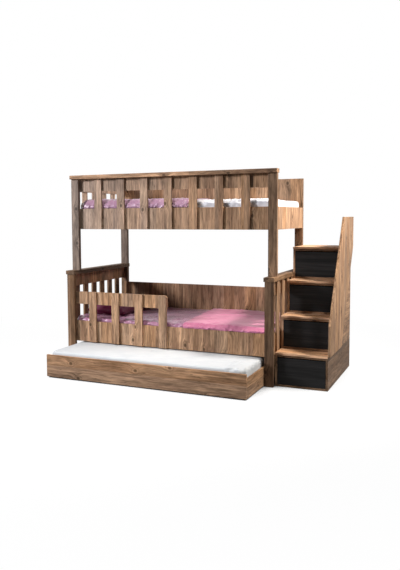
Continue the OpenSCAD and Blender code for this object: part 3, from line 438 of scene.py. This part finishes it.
# The castor wheels: moulded black nylon that turns on the axles, slightly glossy where it
# has rubbed on the floor, with a moulded grain of 1 mm.
nylon, tree = material("moulded_black_nylon")
place = add(tree, "TexCoord")
moulded = add(tree, "TexNoise", {"Vector": place.outputs["Object"], "Scale": 900.0,
                                 "Detail": 2.0})
rubbed = add(tree, "TexNoise", {"Vector": place.outputs["Object"], "Scale": 60.0,
                                "Detail": 3.0})
nylon_colour = add(tree, "Mix", {"Factor": rubbed, "A": linear("#17171a"),
                                 "B": linear("#2b2b2e")}, data_type="RGBA")
nylon_rough = add(tree, "MapRange", {"Value": rubbed, "To Min": 0.35, "To Max": 0.55})
grained = add(tree, "Bump", {"Height": moulded, "Distance": 0.0001, "Strength": 0.5})
add(tree, "OutputMaterial", {"Surface": add(tree, "BsdfPrincipled", {
    "Base Color": nylon_colour, "Roughness": nylon_rough, "Normal": grained, "IOR": 1.53})})
for end in ("front_left", "front_right", "rear_left", "rear_right"):
    wheel = node[f"castor_wheel_{end}"]
    wheel.data.materials.clear()
    wheel.data.materials.append(nylon)

# The dowels between posts and caps: turned beech, fluted and pale, glued into the posts
# and pushed into the caps, so they are all but hidden. Its rays are 2.5 mm wide.
beech, tree = material("turned_beech")
place = add(tree, "TexCoord")
rays = add(tree, "TexNoise", {"Vector": add(tree, "VectorMath", {
    0: place.outputs["Object"], 1: (400, 400, 60)}, operation="MULTIPLY"), "Scale": 1.0,
    "Detail": 2.0})
beech_colour = add(tree, "Mix", {"Factor": rays, "A": linear("#dcb98c"),
                                 "B": linear("#b98a5a")}, data_type="RGBA")
add(tree, "OutputMaterial", {"Surface": add(tree, "BsdfPrincipled", {
    "Base Color": beech_colour, "Roughness": 0.6})})
edge_board("post_dowels", beech, 0.0003)


# The lower mattress: 2000 by 1000 mm, a sprung core under a fitted sheet of mauve polyester
# satin, rolled at the edges and crowned a little. Long soft ridges run over its head half,
# and the loose edge is gathered along the side rail.
corner_radius = 0.06    # of a mattress seen from above, in metres as are the next four
edge_roll = 0.028
lower_roll = 0.012
crown = 0.005           # how much the middle stands above the rolled edges
crown_run = 0.13        # from the rolled edge to the full height of the crown


def steps(length, fine, count):
    """Distances from 0 to length: close together over the rolled edges, even between."""
    edge = [fine * t for t in (0, 0.12, 0.28, 0.48, 0.72)]
    middle = list(np.linspace(fine, length - fine, count))
    return np.array(edge + middle + [length - e for e in reversed(edge)])


def slab(low, high, corner, roll, rise, counts, foot=None, draw=0.0):
    """A closed block of cloth or foam with round corners, edges rolled above by roll and below
    by foot, a top crowned by rise, and sides drawn in by draw. It gives the mesh's points and
    faces."""
    foot = foot or roll
    tiny = 1e-9                 # metres; less than this is none
    least_corner = 0.004        # radius left in the corners, in metres
    low, high = np.array(low), np.array(high)
    half, centre = (high - low) / 2, (high + low) / 2
    lines = [steps(2 * half[0], roll, counts[0]), steps(2 * half[1], roll, counts[1]),
             np.concatenate([np.linspace(0, foot, 4), np.linspace(foot, 2 * half[2] - roll,
                             counts[2] + 1)[1:], 2 * half[2] - roll
                             + roll * np.array([0.3, 0.55, 0.8, 1.0])])]
    last = [len(line) - 1 for line in lines]
    number, faces = {}, []
    for axis in range(3):
        u, v = (axis + 1) % 3, (axis + 2) % 3
        for side in (0, last[axis]):
            for i in range(last[u]):
                for j in range(last[v]):
                    ring = []
                    for a, b in ((i, j), (i + 1, j), (i + 1, j + 1), (i, j + 1)):
                        key = [0, 0, 0]
                        key[axis], key[u], key[v] = side, a, b
                        ring.append(number.setdefault(tuple(key), len(number)))
                    faces.append(ring if side else ring[::-1])
    # each point's place, and how far it lies in from the outline, below the top and above
    # the foot; the rolls then turn the square edges into quarter rounds
    index = np.array(list(number))
    p = np.stack([lines[a][index[:, a]] - half[a] for a in range(3)], axis=1)
    inset = np.minimum(half[0] - abs(p[:, 0]), half[1] - abs(p[:, 1]))
    depth = half[2] - p[:, 2]
    lift = p[:, 2] + half[2]
    new_inset, new_z = inset.copy(), p[:, 2].copy()
    for radius, way, sign in ((roll, depth, 1), (foot, lift, -1)):
        near = (inset < radius) & (way < radius)
        turn = np.where(way <= tiny, 45 * (1 - inset / radius),
                        90 - 45 * (1 - way / radius)) * math.pi / 180
        new_inset[near] = (radius * (1 - np.sin(turn)))[near]
        new_z[near] = (sign * (half[2] - radius * (1 - np.cos(turn))))[near]
    bulge = 1 - (new_z / half[2]) ** 2
    on_side = inset < tiny
    new_inset = new_inset + np.where(on_side, draw * bulge, 0)
    for a in (0, 1):
        p[:, a] *= (half[a] - new_inset) / np.maximum(half[a] - inset, 1e-6)
    # seen from above, the square corners become round
    radius = np.maximum(corner - new_inset, least_corner)
    q = [np.clip(p[:, a], -(half[a] - new_inset - radius), half[a] - new_inset - radius)
         for a in (0, 1)]
    d = [p[:, a] - q[a] for a in (0, 1)]
    reach = np.maximum(abs(d[0]), abs(d[1]))
    length = np.hypot(d[0], d[1])
    both = (abs(d[0]) > tiny) & (abs(d[1]) > tiny)
    for a in (0, 1):
        p[:, a] = np.where(both, q[a] + d[a] * reach / np.maximum(length, tiny), p[:, a])
    crowned = np.sin(np.clip((inset - roll) / crown_run, 0, 1) * math.pi / 2)
    p[:, 2] = new_z + np.where(depth <= tiny, rise * crowned, 0)
    return p + centre, faces


def creased(points, normals, lines):
    """Raises or sinks the points along their normals beside each crease line:
    start, end, half width and height, in metres."""
    moved = np.zeros(len(points))
    for a, b, width, height in lines:
        a, b = np.array(a), np.array(b)
        near = np.all(np.abs(points - (a + b) / 2) < np.abs(b - a) / 2 + 3 * width, axis=1)
        rel = points[near] - a
        t = np.clip(rel @ (b - a) / max((b - a) @ (b - a), 1e-9), 0, 1)
        gap = np.linalg.norm(rel - t[:, None] * (b - a), axis=1)
        taper = np.sin(np.clip(t, 0.02, 0.98) * math.pi) ** 0.5
        moved[near] += height * taper * np.exp(-(gap / width) ** 2)
    return points + normals * moved[:, None]


def crumpled(points, normals, areas):
    """Raises sharp random ridges along the normals in each area: its low and high corner,
    the ridges' size along X, Y and Z, and their height, in metres."""
    fade = 0.03     # metres outside an area over which its ridges die away
    moved = np.zeros(len(points))
    for low, high, size, height in areas:
        outside = np.maximum(np.maximum(np.array(low) - points, points - np.array(high)), 0)
        weight = np.clip(1 - np.linalg.norm(outside, axis=1) / fade, 0, 1)
        for n in np.flatnonzero(weight):
            at = Vector(points[n] / size)
            ridge = 1 - 2.4 * abs(noise.noise(at)) - 0.9 * abs(noise.noise(at * 2.3))
            moved[n] += weight[n] * height * max(ridge, 0) ** 1.5
    return points + normals * moved[:, None]


def cloth_piece(name, points, faces, finish, lines, areas, lowest=None, highest=None):
    """Makes the piece: its mesh, the creases and ridges along its normals, its finish. Its
    points stay above what lies under it and below what passes over it."""
    mesh = bpy.data.meshes.new(name)
    mesh.from_pydata(points.tolist(), [], faces)
    mesh.update()
    normals = np.zeros(len(points) * 3)
    mesh.vertex_normals.foreach_get("vector", normals)
    points = creased(points, normals.reshape(-1, 3), lines)
    points = crumpled(points, normals.reshape(-1, 3), areas)
    if lowest is not None:
        points[:, 2] = np.maximum(points[:, 2], lowest(points))
    if highest is not None:
        points[:, 2] = np.minimum(points[:, 2], highest)
    mesh.vertices.foreach_set("co", points.ravel())
    mesh.shade_smooth()
    mesh.materials.append(finish)
    piece = bpy.data.objects.new(name, mesh)
    scene.collection.objects.link(piece)
    return piece


def woven(name, colour, shade, roughness, sheen, coat=0.0):
    """Cloth with a plain weave. Its threads are drawn 3 mm apart, coarser than the real
    0.3 mm, so that they still show."""
    new, tree = material(name)
    place = add(tree, "TexCoord")
    relief = 0.00012    # how far the threads stand out, in metres
    thread = 0.003      # from thread to thread, in metres
    scale = 0.314 / thread      # Blender's bands lie 0.314 m apart at a scale of 1
    warp = add(tree, "TexWave", {"Vector": place.outputs["Object"], "Scale": scale},
               bands_direction="X")
    weft = add(tree, "TexWave", {"Vector": place.outputs["Object"], "Scale": scale},
               bands_direction="Y")
    upright = add(tree, "TexWave", {"Vector": place.outputs["Object"], "Scale": scale},
                  bands_direction="Z")
    weave = add(tree, "Math", {0: warp, 1: weft}, operation="MULTIPLY")
    weave = add(tree, "Math", {0: weave, 1: 0.6, 2: add(tree, "Math", {0: upright, 1: 0.4},
                                                      operation="MULTIPLY")},
                operation="MULTIPLY_ADD")
    cloudy = add(tree, "TexNoise", {"Vector": place.outputs["Object"], "Scale": 7.0,
                                    "Detail": 4.0})
    mixed = add(tree, "Math", {0: cloudy, 1: 0.8, 2: add(tree, "Math", {0: weave, 1: 0.2},
                                                       operation="MULTIPLY")},
                operation="MULTIPLY_ADD")
    level = add(tree, "MapRange", {"Value": mixed, "From Min": 0.3, "From Max": 0.7})
    tint = add(tree, "Mix", {"Factor": level, "A": linear(shade), "B": linear(colour)},
               data_type="RGBA")
    rough = add(tree, "MapRange", {"Value": weave, "To Min": roughness,
                                   "To Max": roughness + 0.12})
    threads = add(tree, "Bump", {"Height": weave, "Distance": relief, "Strength": 0.8})
    add(tree, "OutputMaterial", {"Surface": add(tree, "BsdfPrincipled", {
        "Base Color": tint, "Roughness": rough, "Normal": threads, "Sheen Weight": sheen,
        "Sheen Roughness": 0.35, "Coat Weight": coat, "Coat Roughness": 0.3,
        "Specular IOR Level": 0.3})})
    return new


def scattered(seed, count, low, high, length, width, height, lean):
    """Random ridges and lower creases in a box: length, width and height are ranges in
    metres, and lean is the range of their direction in degrees from the bed's long side."""
    draw = random.Random(seed)
    lines = []
    for _ in range(count):
        at = np.array([draw.uniform(low[a], high[a]) for a in range(3)])
        way = math.radians(draw.uniform(*lean))
        run = draw.uniform(*length) / 2 * np.array([math.cos(way), math.sin(way), 0])
        rise = draw.uniform(*height) * draw.choice((1, -0.7))
        lines.append((at - run, at + run, draw.uniform(*width), rise))
    return lines


mauve_satin = woven("mauve_polyester_satin", "#b27d99", "#8c607c", 0.26, 0.2, 0.5)
mattress_counts = (150, 46, 5)      # faces along, across and up the side


def sheeted_mattress(name, finish, body, lines, areas, highest=None):
    """A mattress in its sheet, in the place and size of its CAD form."""
    low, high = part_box(name)
    edge_top = high.z - crown
    points, faces = slab(low, (high.x, high.y, edge_top), corner_radius, edge_roll, crown,
                         mattress_counts, foot=lower_roll, draw=0.004)
    piece = cloth_piece(name + "_in_sheet", points, faces, finish, lines, areas,
                        highest=highest)
    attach(piece, body)
    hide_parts(name)


low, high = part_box("lower_mattress")
sheeted_mattress(   # its long ridges, then the gathers along the front edge
    "lower_mattress", mauve_satin, "bed_frame",
    scattered(12, 26, (-1.1, low.y + 0.06, high.z - 0.001), (0.1, high.y - 0.1, high.z),
              (0.3, 0.9), (0.012, 0.03), (0.003, 0.006), (-12, 40)),
    [((low.x, low.y - 0.01, high.z - 0.06), (0.1, low.y + 0.3, high.z), (0.06, 0.10, 0.05),
      0.018)])

# The upper mattress: 2000 by 900 mm, of the same make, in a fitted sheet of white cotton. It
# shows as a gathered white edge above the side board, to the right of the lilac cover.
white_cotton = woven("white_cotton_sheet", "#e5e6ea", "#d3d5de", 0.75, 0.15)
low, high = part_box("upper_mattress")
sheeted_mattress(   # the creases of its foot half, then the gathers along the front edge
    "upper_mattress", white_cotton, "bed_frame",
    scattered(21, 30, (-0.2, low.y, high.z - 0.004), (high.x, high.y - 0.1, high.z),
              (0.1, 0.5), (0.008, 0.02), (0.002, 0.005), (-20, 60)),
    [((-0.1, low.y - 0.01, high.z - 0.08), (high.x, low.y + 0.2, high.z), (0.055, 0.05, 0.035),
      0.018)])

# The trundle mattress: 1878 by 900 mm, of foam, in a sheet of pale grey cotton pulled smooth
# but for two short creases at its front edge and a loose folded corner at the right.
pale_cotton = woven("pale_grey_cotton_sheet", "#cacfd2", "#bec5ca", 0.75, 0.1)
low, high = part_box("trundle_mattress")
side_rail_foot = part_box("lower_side_rail")[0].z     # the trundle bed rolls in below it
sheeted_mattress(   # faint ridges, two short creases, the corner's two folds, its gathers
    "trundle_mattress", pale_cotton, "trundle",
    scattered(31, 22, (-1.1, low.y + 0.02, high.z - 0.0013), (high.x - 0.04, high.y, high.z),
              (0.2, 0.7), (0.010, 0.024), (0.003, 0.006), (-25, 35))
    + [((-0.57, low.y, 0.222), (-0.54, low.y + 0.09, 0.241), 0.007, -0.007),
       ((-0.385, low.y, 0.222), (-0.40, low.y + 0.11, 0.241), 0.007, -0.007),
       ((high.x - 0.14, low.y + 0.02, 0.241), (high.x, low.y + 0.16, 0.20), 0.010, 0.010),
       ((high.x - 0.08, low.y, 0.235), (high.x, low.y + 0.07, 0.17), 0.009, 0.012)],
    [((high.x - 0.16, low.y - 0.01, high.z - 0.08), (high.x, low.y + 0.3, high.z),
      (0.05, 0.045, 0.12), 0.014)],
    highest=side_rail_foot - 0.001)


# The pink cover: a thin quilted bedspread of pink polyester satin, folded double, spread
# over the lower bed's foot half. Its head edge runs askew, and its hem lies on the side rail.
def mattress_height(x, y, low, high):
    """Height of a mattress's top over a point, from its box."""
    inset = np.minimum(np.minimum(x - low[0], high[0] - x), np.minimum(y - low[1], high[1] - y))
    rolled = edge_roll - np.sqrt(np.maximum(edge_roll ** 2 - (edge_roll - np.clip(
        inset, 0, edge_roll)) ** 2, 0))
    rise = crown * np.sin(np.clip((inset - edge_roll) / crown_run, 0, 1) * math.pi / 2)
    return high[2] - crown - rolled + rise


def cover(name, cad_name, mattress, finish, lines, areas, counts, skew=0.0):
    """A quilt that follows the mattress below it, over the area of its CAD form. Skew is how
    far its head edge shifts from front to rear."""
    thick = 0.014               # the folded quilt, in metres
    loft, swelling = 0.004, 0.006   # its extra thickness, everywhere and in places
    hang = 1.2                  # metres that the hanging edge drops for each metre forward
    low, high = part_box(cad_name)
    m_low, m_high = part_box(mattress)
    rail_top = low.z - 0.0003
    points, faces = slab((low.x + skew, low.y, 0), (high.x, high.y, thick), 0.02,
                         thick * 0.48, 0.0, counts)
    share = (high.x - points[:, 0]) / (high.x - low.x - skew)
    depth = (points[:, 1] - low.y) / (high.y - low.y)
    points[:, 0] -= skew * share * depth

    def under(x, y):
        """Height of what the cover lies on: the mattress, and the board's top before it."""
        on_mattress = np.maximum(mattress_height(x, y, m_low, m_high), rail_top)
        return np.where(y < m_low.y, rail_top, on_mattress)

    base = under(points[:, 0], points[:, 1])
    drop = np.maximum(mattress_height(points[:, 0], np.maximum(points[:, 1], m_low.y), m_low,
                                      m_high) - base - hang * (m_low.y - points[:, 1]), 0)
    swell = np.array([noise.noise(Vector((x * 9, y * 7, 3.1))) for x, y in points[:, :2]])
    above = points[:, 2] / thick
    drop = np.where(points[:, 1] < m_low.y, drop, 0)
    points[:, 2] += base + 0.001 + above * (swelling * swell + loft + drop)
    return cloth_piece(name, points, faces, finish, lines, areas,
                       lowest=lambda q: under(q[:, 0], q[:, 1]) + 0.0005)


pink_satin = woven("pink_polyester_satin", "#c27a96", "#ab6281", 0.42, 0.25, 0.08)
low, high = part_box("lower_blanket")
pink_cover = cover(
    "pink_cover", "lower_blanket", "lower_mattress", pink_satin,
    scattered(42, 22, (0.0, low.y + 0.06, high.z - 0.02), (high.x, high.y, high.z - 0.01),
              (0.15, 0.6), (0.012, 0.03), (0.002, 0.005), (-30, 70)),
    [((low.x, low.y, low.z), (high.x, low.y + 0.03, high.z), (0.05, 0.03, 0.03), 0.010),
     ((low.x, low.y, low.z), (high.x, high.y, high.z), (0.16, 0.12, 0.2), 0.006)],
    (110, 80, 1), skew=0.075)
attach(pink_cover, "bed_frame")
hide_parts("lower_blanket")

# The lilac cover: the same kind of bedspread in lilac satin, spread over the upper bed's head
# half. It is puckered along the front and hangs down there to the side board's top.
lilac_satin = woven("lilac_polyester_satin", "#b28ca2", "#936f87", 0.3, 0.3, 0.3)
low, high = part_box("upper_blanket")
lilac_cover = cover(
    "lilac_cover", "upper_blanket", "upper_mattress", lilac_satin,
    scattered(52, 16, (low.x, low.y, high.z - 0.03), (high.x, high.y - 0.3, high.z),
              (0.3, 0.7), (0.02, 0.04), (0.004, 0.008), (-20, 60)),
    [((low.x, low.y, low.z), (high.x, low.y + 0.25, high.z), (0.04, 0.05, 0.03), 0.013)],
    (170, 60, 3))
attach(lilac_cover, "bed_frame")
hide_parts("upper_blanket")


# The pillow: fibre-filled, in a plum satin case, plump in the middle with flat corners, sewn
# shut all round. A short cloth simulation with air pressure swells the case; tucks then run
# from its corners.
plum_satin = woven("plum_polyester_satin", "#741c46", "#4a0f2f", 0.36, 0.15, 0.05)


def plumped(name, cad_name, voxel, cap):
    """A copy of a CAD cushion, remeshed and swollen by Blender's cloth, moved cap at most."""
    frames = 20
    source = node[cad_name]
    piece = bpy.data.objects.new(name, source.data.copy())
    scene.collection.objects.link(piece)
    piece.data.materials.clear()
    bpy.context.view_layer.objects.active = piece
    bm = bmesh.new()
    bm.from_mesh(piece.data)
    bmesh.ops.remove_doubles(bm, verts=bm.verts, dist=0.0001)
    bm.to_mesh(piece.data)
    bm.free()
    remesh = piece.modifiers.new("even faces", "REMESH")
    remesh.mode = "VOXEL"
    remesh.voxel_size = voxel
    bpy.ops.object.select_all(action="DESELECT")
    piece.select_set(True)
    bpy.ops.object.modifier_apply(modifier=remesh.name)
    before = np.array([v.co for v in piece.data.vertices])
    air = piece.modifiers.new("air", "CLOTH")
    air.settings.use_pressure = True
    air.settings.uniform_pressure_force = 4
    air.settings.effector_weights.gravity = 0
    air.settings.quality = 5
    air.point_cache.frame_start, air.point_cache.frame_end = 1, frames
    for number in range(1, frames + 1):
        scene.frame_set(number)
    bpy.ops.object.modifier_apply(modifier=air.name)
    scene.frame_set(1)
    after = np.array([v.co for v in piece.data.vertices])
    step = after - before
    far = np.linalg.norm(step, axis=1, keepdims=True)
    after = before + step * np.minimum(1, cap / np.maximum(far, 1e-9))
    piece.data.vertices.foreach_set("co", after.ravel())
    piece.data.update()
    return piece


pillow = plumped("plum_pillow", "lower_pillow", voxel=0.008, cap=0.018)
pillow_low, pillow_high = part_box("lower_pillow")
points = np.array([v.co for v in pillow.data.vertices])
normals = np.array([v.normal for v in pillow.data.vertices])
corners = [(x, y) for x in (pillow_low.x, pillow_high.x) for y in (pillow_low.y, pillow_high.y)]
middle = ((pillow_low.x + pillow_high.x) / 2, (pillow_low.y + pillow_high.y) / 2)
draw = random.Random(61)
tucks_at_corner = 9
from_corner = 0.12      # the tucks start this share of the way from a corner to the middle
tuck_z, tuck_climb = 0.56, 0.04
tucks = []
for x, y in corners:
    for _ in range(tucks_at_corner):
        start = np.array([x + (middle[0] - x) * from_corner + draw.uniform(-0.04, 0.04),
                          y + (middle[1] - y) * from_corner + draw.uniform(-0.05, 0.05),
                          tuck_z])
        end = start + np.array([(middle[0] - x) * draw.uniform(0.3, 0.7),
                                (middle[1] - y) * draw.uniform(0.3, 0.7), tuck_climb])
        tucks.append((start, end, draw.uniform(0.010, 0.02), draw.uniform(-0.006, 0.006)))
points = creased(points, normals, tucks)
points[:, 2] = np.maximum(points[:, 2], pillow_low.z)
points[:, 0] = np.maximum(points[:, 0], pillow_low.x)
pillow.data.vertices.foreach_set("co", points.ravel())
smooth = pillow.modifiers.new("smooth", "SUBSURF")
smooth.levels = smooth.render_levels = 1
pillow.data.shade_smooth()
pillow.data.materials.append(plum_satin)
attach(pillow, "bed_frame")
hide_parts("lower_pillow")
